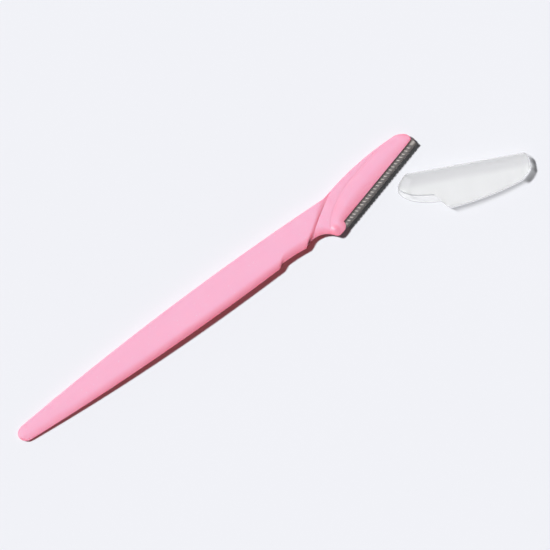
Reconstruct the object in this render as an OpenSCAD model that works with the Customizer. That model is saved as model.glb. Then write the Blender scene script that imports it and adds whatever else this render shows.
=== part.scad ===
// Eyebrow razor: a slim moulded handle, a thin blade with a comb guard held in its head, and a clear cap.
// It lies flat, as on a table, with the cap taken off and turned over beside it. X runs from the tail to
// the head, Y to the spine side and Z up. The origin is on the grip's flat underside. Lengths are in mm.

/* [Grip] */
// Distance from the tail tip to the origin
balance_at = 55; // [45:1:65]
// Width of the grip where it is widest
grip_w = 10.8; // [10:0.1:11.6]
// Distance from the tail tip to the widest place
widest_at = 78; // [74:1:84]
// Width of the tail
tail_w = 5.1; // [4:0.1:6]
// Length of the round tail end
tail_r = 2.6; // [2:0.1:3.2]
// Thickness at the tail
tail_t = 1.25; // [1.15:0.05:1.6]
// Thickness from the widest place to the neck
grip_t = 3; // [2.8:0.05:3.2]
// Width of the rounded shoulder along the blade side, and of the rising back along the spine side
shoulder_w = 2.6; // [2:0.1:2.8]
// Rounding of the upper edge on the spine side
rim_r = 0.25; // [0.15:0.05:0.3]

/* [Finger rest] */
// Distance from the tail tip to the notch before the finger rest
notch_at = 96.4; // [94:0.2:98]
// Length of the notch along the edge
notch_run = 2.4; // [1.5:0.1:3]
// Depth of the finger rest at the notch
rest_depth = 0.85; // [0.4:0.05:1.2]

/* [Neck] */
// Distance from the tail tip to the step between grip and neck, on the centre line
step_at = 115.0; // [114.5:0.1:115.5]
// Length over which the grip rounds off to the step
step_round = 2; // [1.4:0.1:2.6]
// Height of the neck's upper face
neck_z = 2.5; // [2.4:0.05:2.6]
// Height of the neck's lower face
neck_lift = 0.3; // [0.2:0.05:0.4]
// Distance from the tail tip to the top of the hollow between neck and heel
hollow_at = 111; // [110.6:0.1:111.4]
// Distance from the centre line to the top of the hollow
hollow_y = 3.8; // [3.6:0.05:4]
// Radius of the hollow
hollow_r = 6.9; // [6.7:0.1:7.1]

/* [Head] */
// Angle of the cutting edge to the grip
blade_angle = 14.6; // [13.6:0.2:15.6]
// Distance from the tail tip to the heel end of the cutting edge
heel_at = 121.3; // [121:0.1:121.6]
// Distance of the heel end of the cutting edge below the centre line
heel_drop = 7.2; // [7:0.05:7.4]
// Thickness of the head where it is thickest
head_t = 2.8; // [2.7:0.05:3]
// Distance from the heel end of the edge to the thickest place
thick_at = 6; // [5:0.5:8]
// Thickness of the head at its tip
tip_t = 1.7; // [1.6:0.05:2]
// Length of the head from the heel end of the edge to the tip
head_len = 34.2; // [33:0.1:36]
// Radius of the spine's long curve
spine_r = 96; // [92:1:104]
// Height of the plastic lip above the blade's plane
lip_h = 0.55; // [0.45:0.05:0.65]
// Width of the cheek between lip and crease, where it is widest
cheek_w = 6.5; // [6:0.1:6.8]
// Distance from the heel end of the edge to the widest place of the cheek
cheek_at = 11.6; // [10.5:0.2:12.5]
// Length of the crease from there back to the heel
crease_back = 16.9; // [16:0.1:17.5]
// Distance that the crease comes nearer to the edge from there to the tip
crease_drop = 1.9; // [1.5:0.1:2.3]
// Width of the crease to each side of its middle
crease_w = 0.4; // [0.3:0.05:0.5]
// Depth of the crease
crease_d = 0.06; // [0.04:0.01:0.1]

/* [Heel and tip] */
// Radius of the heel's nose
nose_r = 1.7; // [1.6:0.05:1.8]
// Distance of the nose's lowest place behind the heel end of the edge
nose_back = 2.7; // [2.6:0.05:2.9]
// Length of the flat under the nose
nose_flat = 1.3; // [1:0.1:1.5]
// Distance from the heel end of the edge to the place where the lip starts
lip_at = 0.7; // [0.5:0.05:1]
// Height of the heel's cheek above the blade's plane
heel_h = 1.05; // [0.9:0.05:1.2]
// Length over which the heel rises from the neck
heel_rise = 2.6; // [2:0.1:3]
// Length of the tip's rounding on the spine side
tip_round = 3.2; // [2.6:0.1:3.6]
// Length of the tip's rounding on the blade side
tip_corner = 0.8; // [0.6:0.05:1]
// Distance of the foremost point from the lip
tip_up = 1.25; // [1:0.05:1.5]

/* [Blade and guard] */
// Width of the strip of blade and guard that stands out of the lip
exposed_w = 2.2; // [2:0.05:2.4]
// Width of the strip held inside the head
held_w = 2.5; // [2.2:0.1:2.7]
// Length by which the tip's plastic covers the strip's end
tip_cover = 1.6; // [1.3:0.1:2]
// Distance by which the strip's end slants
strip_slant = 0.3; // [0.1:0.05:0.6]
// Thickness of the blade
blade_t = 0.2; // [0.15:0.01:0.3]
// Width of the ground bevel
bevel_w = 0.6; // [0.4:0.05:0.8]
// Thickness of the guard's sheet
guard_t = 0.12; // [0.1:0.01:0.15]
// Distance of the cutting edge from the guard's fold
edge_back = 0.2; // [0.15:0.01:0.25]
// Distance from one comb rib to the next
rib_pitch = 1.27; // [1.1:0.01:1.6]
// Width of one comb rib
rib_w = 0.5; // [0.4:0.05:0.7]
// Depth of the comb's windows from the fold
window_w = 1.65; // [1.4:0.05:1.8]
// Width of the comb's solid end before the first window's pitch
comb_at = 0.3; // [0.2:0.05:0.5]
// Width by which each rib widens to each side at the fold
rib_flare = 0.28; // [0.1:0.01:0.3]
// Radius of the anchor holes through blade and guard
anchor_r = 0.55; // [0.4:0.05:0.6]
// Distance from the lip to the middle of the anchor holes
anchor_in = 1.3; // [1.2:0.05:1.4]
// Number of anchor holes
anchors = 3; // [2:1:4]

/* [Cap] */
// Wall of the cap
cap_wall = 0.45; // [0.4:0.05:0.6]
// Clearance between the head's faces and the cap
cap_fit = 0.1; // [0.05:0.05:0.3]
// Clearance around the head's outline inside the cap
cap_room = 0.35; // [0.3:0.05:0.5]
// Rounding of the cap's outer edges
cap_round = 0.5; // [0.5:0.05:0.8]
// Length over which the cap's corner on the blade side is rounded before the end of the head
cap_corner = 0.65; // [0.4:0.05:0.7]
// Length of the upper tongue past the heel end of the edge
tongue_len = 6.9; // [6:0.1:8]
// Width of the upper tongue
tongue_w = 7.75; // [7:0.05:8]
// Width that the lower tongue is wider than the upper one
tongue_extra = 2.5; // [2:0.1:3]
// Distance from the heel end of the edge to the start of the cap's step
cap_step_at = 3.5; // [3:0.1:5]
// Length of the cap's step
cap_step_run = 4.5; // [3.5:0.1:5.5]
// Angle at which the cap lies
cap_angle = -25.6; // [-28:0.2:-20]
// Distance from the tail tip to the place on the cap that covers the heel end of the edge
cap_at = 148.8; // [148:0.1:152]
// Distance of that place below the centre line
cap_drop = 6.6; // [6.4:0.1:9]

/* [Hidden] */
$fn = 48;
pink = [1, 0.6, 0.75];
steel = [0.56, 0.56, 0.57];
guard_steel = [0.45, 0.44, 0.45];
clear = [0.92, 0.93, 0.94, 0.55];

// Overrun of every cut
over = 1;
// Clearance between the strip and its slot, and between guard and blade
snug = 0.02;
// Clearance round each anchor pin
pin_fit = 0.03;
// Height by which the step stands proud of the neck
proud = 0.08;
// Depth at which the neck is rooted inside the grip
rooted = 1.4;
edge_w = grip_w / 2;
blade_z = head_t / 2;
strip_t = blade_t + 2 * (guard_t + snug);

// Shares of the thickness by which the shoulder falls on each face, and by which the back rises
shoulder_share = 0.32;
back_share = 0.7;

function ease(t) = let (c = max(0, min(1, t))) c * c * (3 - 2 * c);
function mix(a, b, t) = a + (b - a) * t;
// Height of a quarter circle of radius 1 at the distance t from its middle
function quarter(t) = sqrt(max(0, 1 - t * t));
// Fall of a rounded edge, w wide and h high, at the distance d from it
function fall(d, w, h) = d >= w ? 0 : h * (1 - quarter(1 - d / w));
// Fall of a softer shoulder by a square law
function undercut(d, w, h) = d >= w ? 0 : h * pow(1 - d / w, 2);

// Solid through rings with the same number of points, each of them an upper row and the lower row back
module loft(rings) {
    n = len(rings[0]);
    last = (len(rings) - 1) * n;
    sides = [for (i = [0 : len(rings) - 2]) for (j = [0 : n - 1])
        let (a = i * n + j, b = i * n + (j + 1) % n) each [[a, b, a + n], [b, b + n, a + n]]];
    ends = [for (i = [0 : n / 2 - 2]) let (a = n - 1 - i, o = last)
        each [[i, a, i + 1], [i + 1, a, a - 1], [o + i, o + i + 1, o + a], [o + i + 1, o + a - 1, o + a]]];
    polyhedron([for (ring = rings) each ring], concat(sides, ends), convexity = 8);
}

// Ring through the places across, with the heights of its upper and its lower face there
function ring_points(across, place, upper, lower) = concat(
    [for (a = across) concat(place(a), upper(a))],
    [for (i = [len(across) - 1 : -1 : 0]) concat(place(across[i]), lower(across[i]))]);
rim_shares = [0, 0.06, 0.25, 0.55, 1];
// Places across a band with a rounded rim, w wide, along its lower and its upper end
function from_low(low, w) = [for (q = rim_shares) low + q * w];
function to_high(high, w) = [for (i = [len(rim_shares) - 1 : -1 : 0]) high - rim_shares[i] * w];

// Grip: one long arc runs along both edges. The finger rest and the hollow are cut from the blade side.
function grip_half(s) =
    (edge_w - (grip_w - tail_w) / 2 * pow((widest_at - s) / (widest_at - tail_r), 2))
    * quarter(s < tail_r ? 1 - s / tail_r : 0);
rest_start = notch_at + notch_run;
rest_end = hollow_at - hollow_r / 2;
function rest_cut(s) = rest_depth * (s < rest_start
    ? ease((s - notch_at) / notch_run)
    : 1 - pow(min(1, (s - rest_start) / (rest_end - rest_start)), 2));
function hollow_edge(s) = hollow_r * quarter((s - hollow_at) / hollow_r) - hollow_r - hollow_y;
function grip_edge(s) = max(rest_cut(s) - grip_half(s), hollow_edge(s));

// The step crosses the grip on a slant and in a shallow bend.
step_slope_share = 1.47;
step_bend_share = 0.49;
function step_shift(y) = y * (step_slope_share + step_bend_share * y / grip_w);

// Ring of the grip at station s, which leans by a share of the step's slant
function grip_ring(s) =
    let (
        lean = ease((s - widest_at) / (step_at - widest_at)),
        x = function (y) s + lean * step_shift(y),
        low = grip_edge(x(grip_edge(x(-edge_w)))),
        high = grip_half(x(grip_half(x(edge_w)))),
        t = mix(grip_t, tail_t, pow(min(0, s - widest_at) / (widest_at - tail_r), 2)),
        w = min(shoulder_w, (high - low) / 2.2),
        rim = min(rim_r, (high - low) / 4),
        dip = function (y) undercut(y - low, w, shoulder_share * t * quarter(1 - w / shoulder_w)),
        off = step_at - s
    )
    ring_points(concat(from_low(low, w), to_high(high, w)),
        function (y) [x(y) - balance_at, y],
        function (y) t - dip(y) - fall(high - y, rim, rim)
            - undercut(off, step_round, grip_t - neck_z - proud),
        function (y) dip(y) + undercut(high - y, w, back_share * t)
            + fall(off, step_round, neck_lift - proud));

tail_stations = [for (a = [5 : 17 : 90]) tail_r * (1 - cos(a))];
long_stations = [for (i = [1 : 13]) mix(tail_r, notch_at, i / 13)];
rest_stations = [for (i = [1 : 18]) mix(notch_at, step_at - step_round, i / 18)];
step_stations = [for (q = [0.45, 0.75, 0.94, 1]) step_at - step_round * (1 - q)];
module grip() {
    loft([for (s = concat(tail_stations, long_stations, rest_stations, step_stations)) grip_ring(s)]);
}

// Head frame: u runs along the cutting edge from its heel end, and v from the edge to the spine.
module in_head_frame() {
    translate([heel_at - balance_at, -heel_drop, 0]) rotate([0, 0, blade_angle]) children();
}
function head_u(s, y) = (s - heel_at) * cos(blade_angle) + (y + heel_drop) * sin(blade_angle);
function head_v(s, y) = (y + heel_drop) * cos(blade_angle) - (s - heel_at) * sin(blade_angle);

// The spine is an arc with its top at a share of the head's length, raised by a share of the grip's width.
spine_top_share = 0.68;
spine_rise_share = 0.7;
spine_top_at = heel_at + spine_top_share * head_len;
spine_u = head_u(spine_top_at, spine_rise_share * grip_w - spine_r);
spine_v = head_v(spine_top_at, spine_rise_share * grip_w - spine_r);

// Outline of head and cap, which runs around the head at the distance g
tip_v = exposed_w + tip_up;
function tip_share(u, g, start) = quarter(max(0, (u - start) / (head_len + g - start)));
function spine_line(u, g) = spine_v + (spine_r + g) * quarter((u - spine_u) / (spine_r + g));
function wrap_high(u, g) = mix(tip_v, spine_line(u, g), tip_share(u, g, head_len - tip_round));

// The hollow under the neck runs into the heel's nose, which it touches.
hollow_u = head_u(hollow_at, -hollow_y - hollow_r);
hollow_v = head_v(hollow_at, -hollow_y - hollow_r);
nose_v = hollow_v + sqrt(pow(hollow_r + nose_r, 2) - pow(nose_back + hollow_u, 2));
nose_start = mix(hollow_u, -nose_back, hollow_r / (hollow_r + nose_r));
flat_end = nose_flat - nose_back;
function head_low(u) =
    u < nose_start ? hollow_v + hollow_r * quarter((u - hollow_u) / hollow_r)
    : u < flat_end ? nose_v - nose_r * quarter(min(0, u + nose_back) / nose_r)
    : u < lip_at ? mix(exposed_w, nose_v - nose_r, quarter((u - flat_end) / (lip_at - flat_end)))
    : mix(tip_v, exposed_w, tip_share(u, 0, head_len - tip_corner));

// Crease between the cheek and the rest of the head
crease_v = exposed_w + cheek_w;
function crease_line(u) = u < cheek_at
    ? crease_v * quarter((cheek_at - u) / crease_back)
    : crease_v - crease_drop * pow((u - cheek_at) / (head_len - crease_back), 2) / 2;

// Heights of the head: the heel rises from the neck, and the cheek stays swollen up to the tip.
cheek_shares = [0, 0.05, 0.15, 0.33, 0.6, 0.8];
crown_share = 0.54;
cheek_power = 2;
function rise(u) = ease((u - nose_start) / (thick_at - nose_start));
function heel(u) = ease((u + heel_rise / 2 - nose_start) / heel_rise);
function thin(u) = mix(head_t, tip_t, (u - thick_at) / (head_len - thick_at)) / 2;
function crown(u) = mix(heel_h, thin(max(u, thick_at)), ease((u + nose_back) / (thick_at + nose_back)));
function thick(u) = mix(neck_z - neck_lift, 2 * thin(max(u, thick_at)), rise(u));
function swell(q, edge, top, side) = q < crown_share
    ? mix(top, edge, pow(1 - q / crown_share, cheek_power))
    : mix(top, side, ease((q - crown_share) / (1 - crown_share)));

function head_ring(u, inset) =
    let (
        low = head_low(u) + inset,
        high = wrap_high(u, 0),
        w = min(shoulder_w, (high - low) / 4),
        c = max(low + crease_w, min(crease_line(u), high - w - 2 * crease_w)),
        deep = crease_d * heel(u) * ease((high - crease_line(u)) / w),
        flat = tip_share(u, 0, head_len - tip_round),
        face = function (v, side, edge, top, sign)
            let (
                spine = sign > 0
                    ? function (v) fall(high - v, rim_r, rim_r)
                    : function (v) undercut(high - v, w, back_share * thick(u)),
                plain = function (v) side - sign * (spine(v)
                    + (1 - heel(u)) * undercut(v - low, shoulder_w, shoulder_share * thick(u))),
                z = v < c
                    ? mix(plain(v), swell((v - low) / (c - low), edge, top, plain(c)), heel(u))
                    : plain(v)
            )
            mix(blade_z, z - sign * deep * max(0, 1 - abs(v - c) / crease_w), (1 + flat) / 2)
    )
    ring_points(
        concat([for (q = cheek_shares) mix(low, c - crease_w / 2, q)],
            [c - crease_w / 3, c, c + crease_w], to_high(high, w)),
        function (v) [u, v],
        function (v) face(v, mix(neck_z, blade_z + crown(u) - crease_d, rise(u)),
            blade_z + lip_h, blade_z + crown(u), 1),
        function (v) face(v, mix(neck_lift, blade_z - crown(u) + crease_d, rise(u)),
            blade_z - lip_h, blade_z - crown(u), -1));

neck_start = head_u(step_at + step_shift(-hollow_y), -hollow_y);
neck_stations = [for (i = [0 : 5]) mix(neck_start, nose_start - heel_rise / 2, i / 5)];
heel_stations = [for (i = [1 : 8]) mix(nose_start - heel_rise / 2, flat_end, i / 8)];
lip_stations = [for (a = [20 : 17.5 : 90]) mix(flat_end, lip_at, sin(a))];
long_head_stations = [for (i = [1 : 13]) mix(lip_at, head_len - tip_round, i / 13)];
tip_stations = [for (a = [18 : 16 : 82]) mix(head_len - tip_round, head_len, sin(a))];
module head() {
    loft(concat([head_ring(neck_start - rooted, rooted / 2)],
        [for (u = concat(neck_stations, heel_stations, lip_stations, long_head_stations, tip_stations))
            head_ring(u, 0)]));
}

// Strip of blade and guard, with its held part and its slanted end, grown by g
module strip(g, t) {
    end = head_len - tip_cover;
    translate([0, 0, blade_z - t / 2]) linear_extrude(t) polygon([
        [-g, -g], [head_len - strip_slant + g, -g], [head_len + g, exposed_w], [end + g, exposed_w],
        [end + g, exposed_w + held_w + g], [-g, exposed_w + held_w + g]
    ]);
}
anchor_share = 0.4;
module at_anchors() {
    step = (head_len - tip_cover) / (anchors - 1 + 2 * anchor_share);
    for (i = [0 : anchors - 1])
        translate([(i + anchor_share) * step, exposed_w + anchor_in, blade_z]) children();
}

module handle() {
    color(pink) {
        grip();
        in_head_frame() {
            difference() {
                head();
                strip(snug, strip_t + 2 * snug);
            }
            at_anchors() cylinder(r = anchor_r - pin_fit, h = 2 * lip_h, center = true);
        }
    }
}

module blade() {
    color(steel) in_head_frame() difference() {
        intersection() {
            strip(0, blade_t);
            translate([0, 0, blade_z]) rotate([90, 0, 90]) linear_extrude(head_len) polygon([
                [edge_back, 0], [edge_back + bevel_w, blade_t / 2],
                [exposed_w + held_w + over, blade_t / 2], [exposed_w + held_w + over, -blade_t / 2],
                [edge_back + bevel_w, -blade_t / 2]
            ]);
        }
        at_anchors() cylinder(r = anchor_r, h = over, center = true);
    }
}

// The comb's windows lean towards the heel as they run inwards, and narrow to slots at the fold.
rib_lean_share = 0.5;
windows = floor((head_len - strip_slant - comb_at) / rib_pitch) - 1;
function flare(v) = rib_flare * ease(1 - 2 * v / window_w);
module window(start, end) {
    depths = concat([-over], [for (q = [0 : 0.125 : 0.5]) q * window_w], [window_w]);
    sides = len(depths) - 1;
    translate([0, 0, blade_z - over]) linear_extrude(2 * over) polygon(concat(
        [for (v = depths) [start - rib_lean_share * v + flare(v), v]],
        [for (i = [sides : -1 : 0]) let (v = depths[i]) [end - rib_lean_share * v - flare(v), v]]));
}

module guard() {
    fold_r = strip_t / 2;
    color(guard_steel) in_head_frame() difference() {
        intersection() {
            strip(0, strip_t);
            union() {
                translate([0, fold_r, blade_z]) rotate([0, 90, 0]) cylinder(r = fold_r, h = head_len);
                translate([0, fold_r, blade_z - fold_r]) cube([head_len, exposed_w + held_w, strip_t]);
            }
        }
        translate([-over, guard_t + snug, blade_z - blade_t / 2 - snug])
            cube([head_len + 2 * over, exposed_w + held_w, blade_t + 2 * snug]);
        for (i = [1 : windows])
            window(comb_at + i * rib_pitch, comb_at - rib_w + (i + 1) * rib_pitch);
        at_anchors() cylinder(r = anchor_r, h = over, center = true);
    }
}

// Cap, in the frame of the head turned over: the spine side lies at negative y.
cap_gap = cap_room + cap_wall;
mouth_u = -tongue_len - cap_wall;
function cap_height(u) = 2 * (thin(u) + cap_fit + cap_wall);
function cap_low(u, g) = mix(tip_v, -g, tip_share(u, g, head_len - cap_corner));
function cap_ring(u, g, wall, r) =
    let (
        low = -wrap_high(u, g),
        high = -cap_low(u, g),
        w = min(r, (high - low) / 3),
        dip = function (y) wall + fall(min(y - low, high - y, head_len + g - u), w, w)
    )
    ring_points(concat(from_low(low, w), to_high(high, w)), function (y) [u, y],
        function (y) cap_height(u) - dip(y), dip);
module cap_block(start, g, wall, r) {
    body = [for (i = [0 : 9]) mix(start, head_len - tip_round, i / 9)];
    tip = [for (a = [15 : 12 : 87]) mix(head_len - tip_round, head_len + g, sin(a))];
    loft([for (u = concat(body, tip)) cap_ring(u, g, wall, r)]);
}

// Everything beyond a tongue and beyond the step that leads from it to the spine. The tongue's end is
// elliptic towards the spine and nearly straight towards the blade side.
tongue_nose_share = 0.45;
corner_power = 1.7;
module beyond_tongue(length, w, z, h) {
    top = spine_line(cap_step_at, cap_gap);
    side = w - cap_gap;
    nose = tongue_nose_share * w - cap_gap;
    start = cap_step_at + cap_step_run * (w - tongue_w) / (top + cap_gap - tongue_w);
    corner = -length * (1 - tongue_nose_share);
    translate([0, 0, z]) linear_extrude(h) polygon(concat(
        [for (a = [0 : 15 : 75]) [mix(corner, -length, pow(sin(a), corner_power)),
            -mix(nose, -cap_gap, pow(cos(a), corner_power))]],
        [for (a = [0 : 10 : 90]) [mix(start, -length, cos(a)), -mix(nose, side, sin(a))]],
        [[cap_step_at + cap_step_run, -top], [cap_step_at + cap_step_run, -top - over],
            [mouth_u - over, -top - over], [mouth_u - over, cap_gap + over], [corner, cap_gap + over]]));
}

module cap() {
    h = cap_height(mouth_u);
    color(clear) translate([cap_at - balance_at, -cap_drop, 0]) rotate([0, 0, cap_angle]) difference() {
        cap_block(mouth_u, cap_gap, 0, cap_round);
        cap_block(mouth_u - over, cap_room, cap_wall, cap_round - cap_wall);
        beyond_tongue(tongue_len, tongue_w, cap_wall * 2, h);
        beyond_tongue(tongue_len + cap_wall / 2, tongue_w + tongue_extra, -over, h + 2 * over);
    }
}

handle();
blade();
guard();
cap();
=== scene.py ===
"""Eyebrow razor lying on a pale table with its clear cap taken off and turned over beside it.

Shapes are worked out in millimetres in the row's frame, or in the head's own frame, where u runs along the
cutting edge from its heel end, v from the edge to the spine and z up. A mesh is made in metres.
"""

import math

import bmesh
import bpy
import numpy as np
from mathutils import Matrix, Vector


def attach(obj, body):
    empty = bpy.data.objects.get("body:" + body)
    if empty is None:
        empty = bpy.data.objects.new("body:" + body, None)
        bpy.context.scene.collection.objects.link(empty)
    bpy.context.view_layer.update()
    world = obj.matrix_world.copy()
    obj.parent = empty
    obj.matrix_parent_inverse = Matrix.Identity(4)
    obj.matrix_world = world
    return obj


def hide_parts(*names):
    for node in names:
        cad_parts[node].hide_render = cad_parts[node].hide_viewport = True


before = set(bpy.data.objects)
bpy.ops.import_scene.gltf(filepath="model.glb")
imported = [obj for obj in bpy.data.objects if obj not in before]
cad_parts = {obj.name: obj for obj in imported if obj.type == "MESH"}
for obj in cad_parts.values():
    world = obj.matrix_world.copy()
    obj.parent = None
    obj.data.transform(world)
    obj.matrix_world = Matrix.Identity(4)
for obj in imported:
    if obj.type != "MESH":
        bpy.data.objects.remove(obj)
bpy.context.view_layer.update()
MM = 0.001

# Grip. Places along it are distances from the tail tip.
BALANCE_AT = 55.0  # where the row's origin lies
GRIP_W = 10.8
WIDEST_AT = 78.0
TAIL_W = 5.1  # width that the tail would have without its round end
TAIL_R = 2.6
TAIL_T = 1.25
GRIP_T = 3.0
SHOULDER_W = 2.6  # the blade side's soft shoulder
SHOULDER_SHARE = 0.32  # its fall, as a share of the thickness
BACK_SHARE = 0.7  # how far the back rises at the spine side, as a share of the thickness
RIM_R = 0.25
# Finger rest
NOTCH_AT = 96.4
NOTCH_RUN = 2.4  # length over which the rest cuts in
REST_DEPTH = 0.85
# Step between grip and neck
STEP_AT = 115.0
STEP_ROUND = 2.0  # length of its fall on the centre line
STEP_FADE = 1.2  # by which share the fall is longer at both ends
STEP_SLOPE = 1.47
STEP_BEND = 0.49
PROUD = 0.03  # height of the grip's end over the neck
# Neck and hollow
NECK_Z = 2.5
NECK_LIFT = 0.3  # height of the neck's underside
HOLLOW_AT = 111.0
HOLLOW_Y = 3.8  # distance of the hollow's circle from the centre line
HOLLOW_R = 6.9
# Head
BLADE_ANGLE = math.radians(14.6)
HEEL_AT = 121.3  # heel end of the cutting edge, and how far it lies off the centre line
HEEL_DROP = 7.2
HEAD_T = 2.8
THICK_AT = 6.0  # u of the thickest place
TIP_T = 1.7
HEAD_LEN = 34.2
SPINE_R = 96.0
SPINE_TOP_SHARE = 0.68  # where the spine's arc is highest, as a share of the head's length
SPINE_RISE_SHARE = 0.7  # how high it is there, as a share of the grip's width
TIP_ROUND = 3.2
TIP_CORNER = 0.8
TIP_UP = 1.25  # height of the tip's point over the lip
# Cheek over the blade, and the crease behind it
LIP_H = 0.55  # half the lip's thickness
LIP_AT = 0.7
CHEEK_W = 6.5  # greatest distance of the crease from the lip, and its u
CHEEK_AT = 11.6
CROWN_SHARE = 0.54  # where the cheek is highest between lip and crease
CHEEK_POWER = 2.0
CREASE_BACK = 16.9  # length of the crease's quarter ellipse
CREASE_DROP = 1.9
CREASE_D = 0.06
CREASE_W = 0.3
CREASE_FADE = 1.2  # distance from the spine over which the crease runs out
# Heel
NOSE_R = 1.7
NOSE_BACK = 2.7  # how far behind the edge the nose's circle has its centre
NOSE_FLAT = 1.3
HEEL_H = 1.05  # half the heel's thickness
HEEL_RISE = 2.6  # length over which the cheek starts
DOME_H = 0.5
DOME_U = -2.9
DOME_V = 2.6
DOME_SPREAD = 1.1  # in square millimetres
# Blade
EXPOSED_W = 2.2
HELD_W = 2.5
TIP_COVER = 1.6  # length of the tip beyond the strip's held part
STRIP_SLANT = 0.3
BLADE_T = 0.2
BEVEL_W = 0.6
EDGE_BACK = 0.2  # how far the edge lies behind the guard's fold
EDGE_HALF = 0.004  # half the thickness of the ground edge
HEEL_IN = 0.02  # how far the blade's ends lie inside the guard's
TIP_IN = 0.03
LIP_JUMP = 0.01  # length over which the strip's end jumps back inside the head
# Guard
GUARD_T = 0.12
SNUG = 0.02  # clearance between blade and guard
RIB_PITCH = 1.27
RIB_W = 0.5
WINDOW_W = 1.65
COMB_AT = 0.3
RIB_LEAN = 0.5  # shift of a rib along u for each millimetre of v
RIB_FLARE = 0.28
RIB_BULGE = 0.22
CREST_SHARE = 0.45  # where the bulge is highest, as a share of the window's width
END_BULGE_SHARE = 0.3  # bulge of the two wide ribs at the ends
RIB_SOFT = 0.05
RIB_OVER = 2.0  # overlength of the wide ribs, which are cut off square
# Cap
CAP_WALL = 0.45
CAP_FIT = 0.1  # clearance above and below the head, and around it
CAP_ROOM = 0.35
CAP_ROUND = 0.5
CAP_CORNER = 0.65
TONGUE_LEN = 6.9
TONGUE_W = 7.75
TONGUE_EXTRA = 2.5  # how much wider the lower tongue is
TONGUE_NOSE = 0.45  # where the tongue's end is, as a share of its width
CORNER_POWER = 1.7
CUT_BACK = 0.2  # by which the tongue's cut slopes back, at its end and at its side
CUT_SIDE = 0.25
CUT_FADE = 2.0
CAP_STEP_AT = 3.5  # where the mouth's slanted step starts, and its length
CAP_STEP_RUN = 4.5
CAP_ANGLE = math.radians(-25.6)
CAP_AT = 148.8
CAP_DROP = 6.6
SKIN_IN = 0.03  # by which the cap's skin keeps inside its CAD box, at the sides and at the tip
CAP_TIP_IN = 0.04
RIM_CLEAR = 0.1  # gap between the lines of the rims and the others
# Marks on the cap: how dense the plastic looks at each place, and how far from there it fades
TIP_DENSE = 1.2
END_AT = 0.05
END_FADE = 0.5
CORNER_DENSE = 0.75  # as a share of the tip's
CORNER_RUN = 1.2
CORNER_W = 0.96
CORNER_FADE = 0.8
SPINE_DENSE = 0.68
SPINE_W = 0.7
SPINE_LOW = 0.3  # between these two heights
SPINE_HIGH = 1.2
SIDE_DENSE = 0.15
SIDE_W = 0.6
MOUTH_DENSE = 0.4
FLOOR_FREE = 0.4  # height below which the tip is clear
HEIGHT_FADE = 0.2
LOWER_CUT = 0.4
# Band of painted shade along the blade side, where the side wall's shadow falls inside the cap
SHADE_BAND_W = 4.6
SHADE_BAND_FADE = 2.4

EDGE_W = GRIP_W / 2
BLADE_Z = HEAD_T / 2
STRIP_T = BLADE_T + 2 * (GUARD_T + SNUG)
CAP_GAP = CAP_ROOM + CAP_WALL
TIP_V = EXPOSED_W + TIP_UP
HELD_TO = EXPOSED_W + HELD_W

# Limits where a piece is narrow, as shares of its width
SHOULDER_MOST = 1 / 2.2
RIM_MOST = 0.25
CAP_RIM_MOST = 1 / 3

# Lines and points of the meshes
MERGE_WITHIN, NO_LENGTH = 1e-7, 1e-8  # in metres
TAIL_ANGLES = np.radians(np.arange(6, 90, 5))
LONG_SPACING = 1.4
REST_SPACING = 0.45
HEAD_SPACING = 0.24
REST_AHEAD = 1.0
STEP_AHEAD = 0.3
REST_GAP = 0.1
LINE_POINTS = 88
CROWDING = 0.82  # how much closer the points of a line lie at its ends
STEP_LINES = 22
FAN_LINES = 150
FAN_END = 12.0
FAN_LEAN_SHARE = 0.35
FAN_GAP = 0.2
TIP_ANGLES = np.radians(np.linspace(0, 89, 34))
NECK_LEAD = 1.0
SPINE_FROM = -14.0
CREASE_LATE = 0.01
CURVE_POINTS = 60
EDGE_POINTS = 40
STRIP_LINES = 30
FOLD_POINTS = 20
FOOT_POINTS = 8
RIM_POINTS = 8
MOUTH_POINTS = 46
CAP_LINES = 60
CAP_LINE_SHARE = 0.004
CAP_LONG_SHARE = 0.86
CAP_TIP_ANGLES = np.radians(np.arange(4, 91, 3.5))


def ease(t):
    """Smooth step: 0 below 0, 1 above 1 and 3t^2 - 2t^3 between."""
    c = np.clip(t, 0, 1)
    return c * c * (3 - 2 * c)


def mix(a, b, t):
    """Straight mixture a + (b - a) t."""
    return a + (b - a) * t


def quarter(t):
    """Quarter circle of radius 1: the square root of 1 - t^2, and 0 past 1."""
    return np.sqrt(np.maximum(0, 1 - np.square(t)))


def quarter_turn(count):
    """count angles at even steps from 0 to a quarter turn."""
    return np.linspace(0, np.pi / 2, count)


def fall(d, w, h):
    """Fall of an elliptic shoulder, w wide and h high, at the distance d from its edge."""
    return h * (1 - quarter(np.clip(1 - np.maximum(d, 0) / w, 0, 1)))


def undercut(d, w, h):
    """Fall by a square law, w wide and h high, at the distance d from an edge."""
    return h * np.square(np.clip(1 - d / w, 0, 1))


def to_head(x, y):
    """Row frame to head frame: a shift to the heel end of the edge and a turn by the blade's angle."""
    a, b = x + BALANCE_AT - HEEL_AT, y + HEEL_DROP
    c, s = math.cos(BLADE_ANGLE), math.sin(BLADE_ANGLE)
    return a * c + b * s, b * c - a * s


def from_head(u, v):
    """Head frame to row frame, the reverse of to_head."""
    c, s = math.cos(BLADE_ANGLE), math.sin(BLADE_ANGLE)
    return u * c - v * s + HEEL_AT - BALANCE_AT, u * s + v * c - HEEL_DROP


def head_points(u, v, z):
    """Points of the head frame, stacked in the row frame."""
    x, y = from_head(u, v)
    return np.stack(np.broadcast_arrays(x, y, z), -1)


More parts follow.
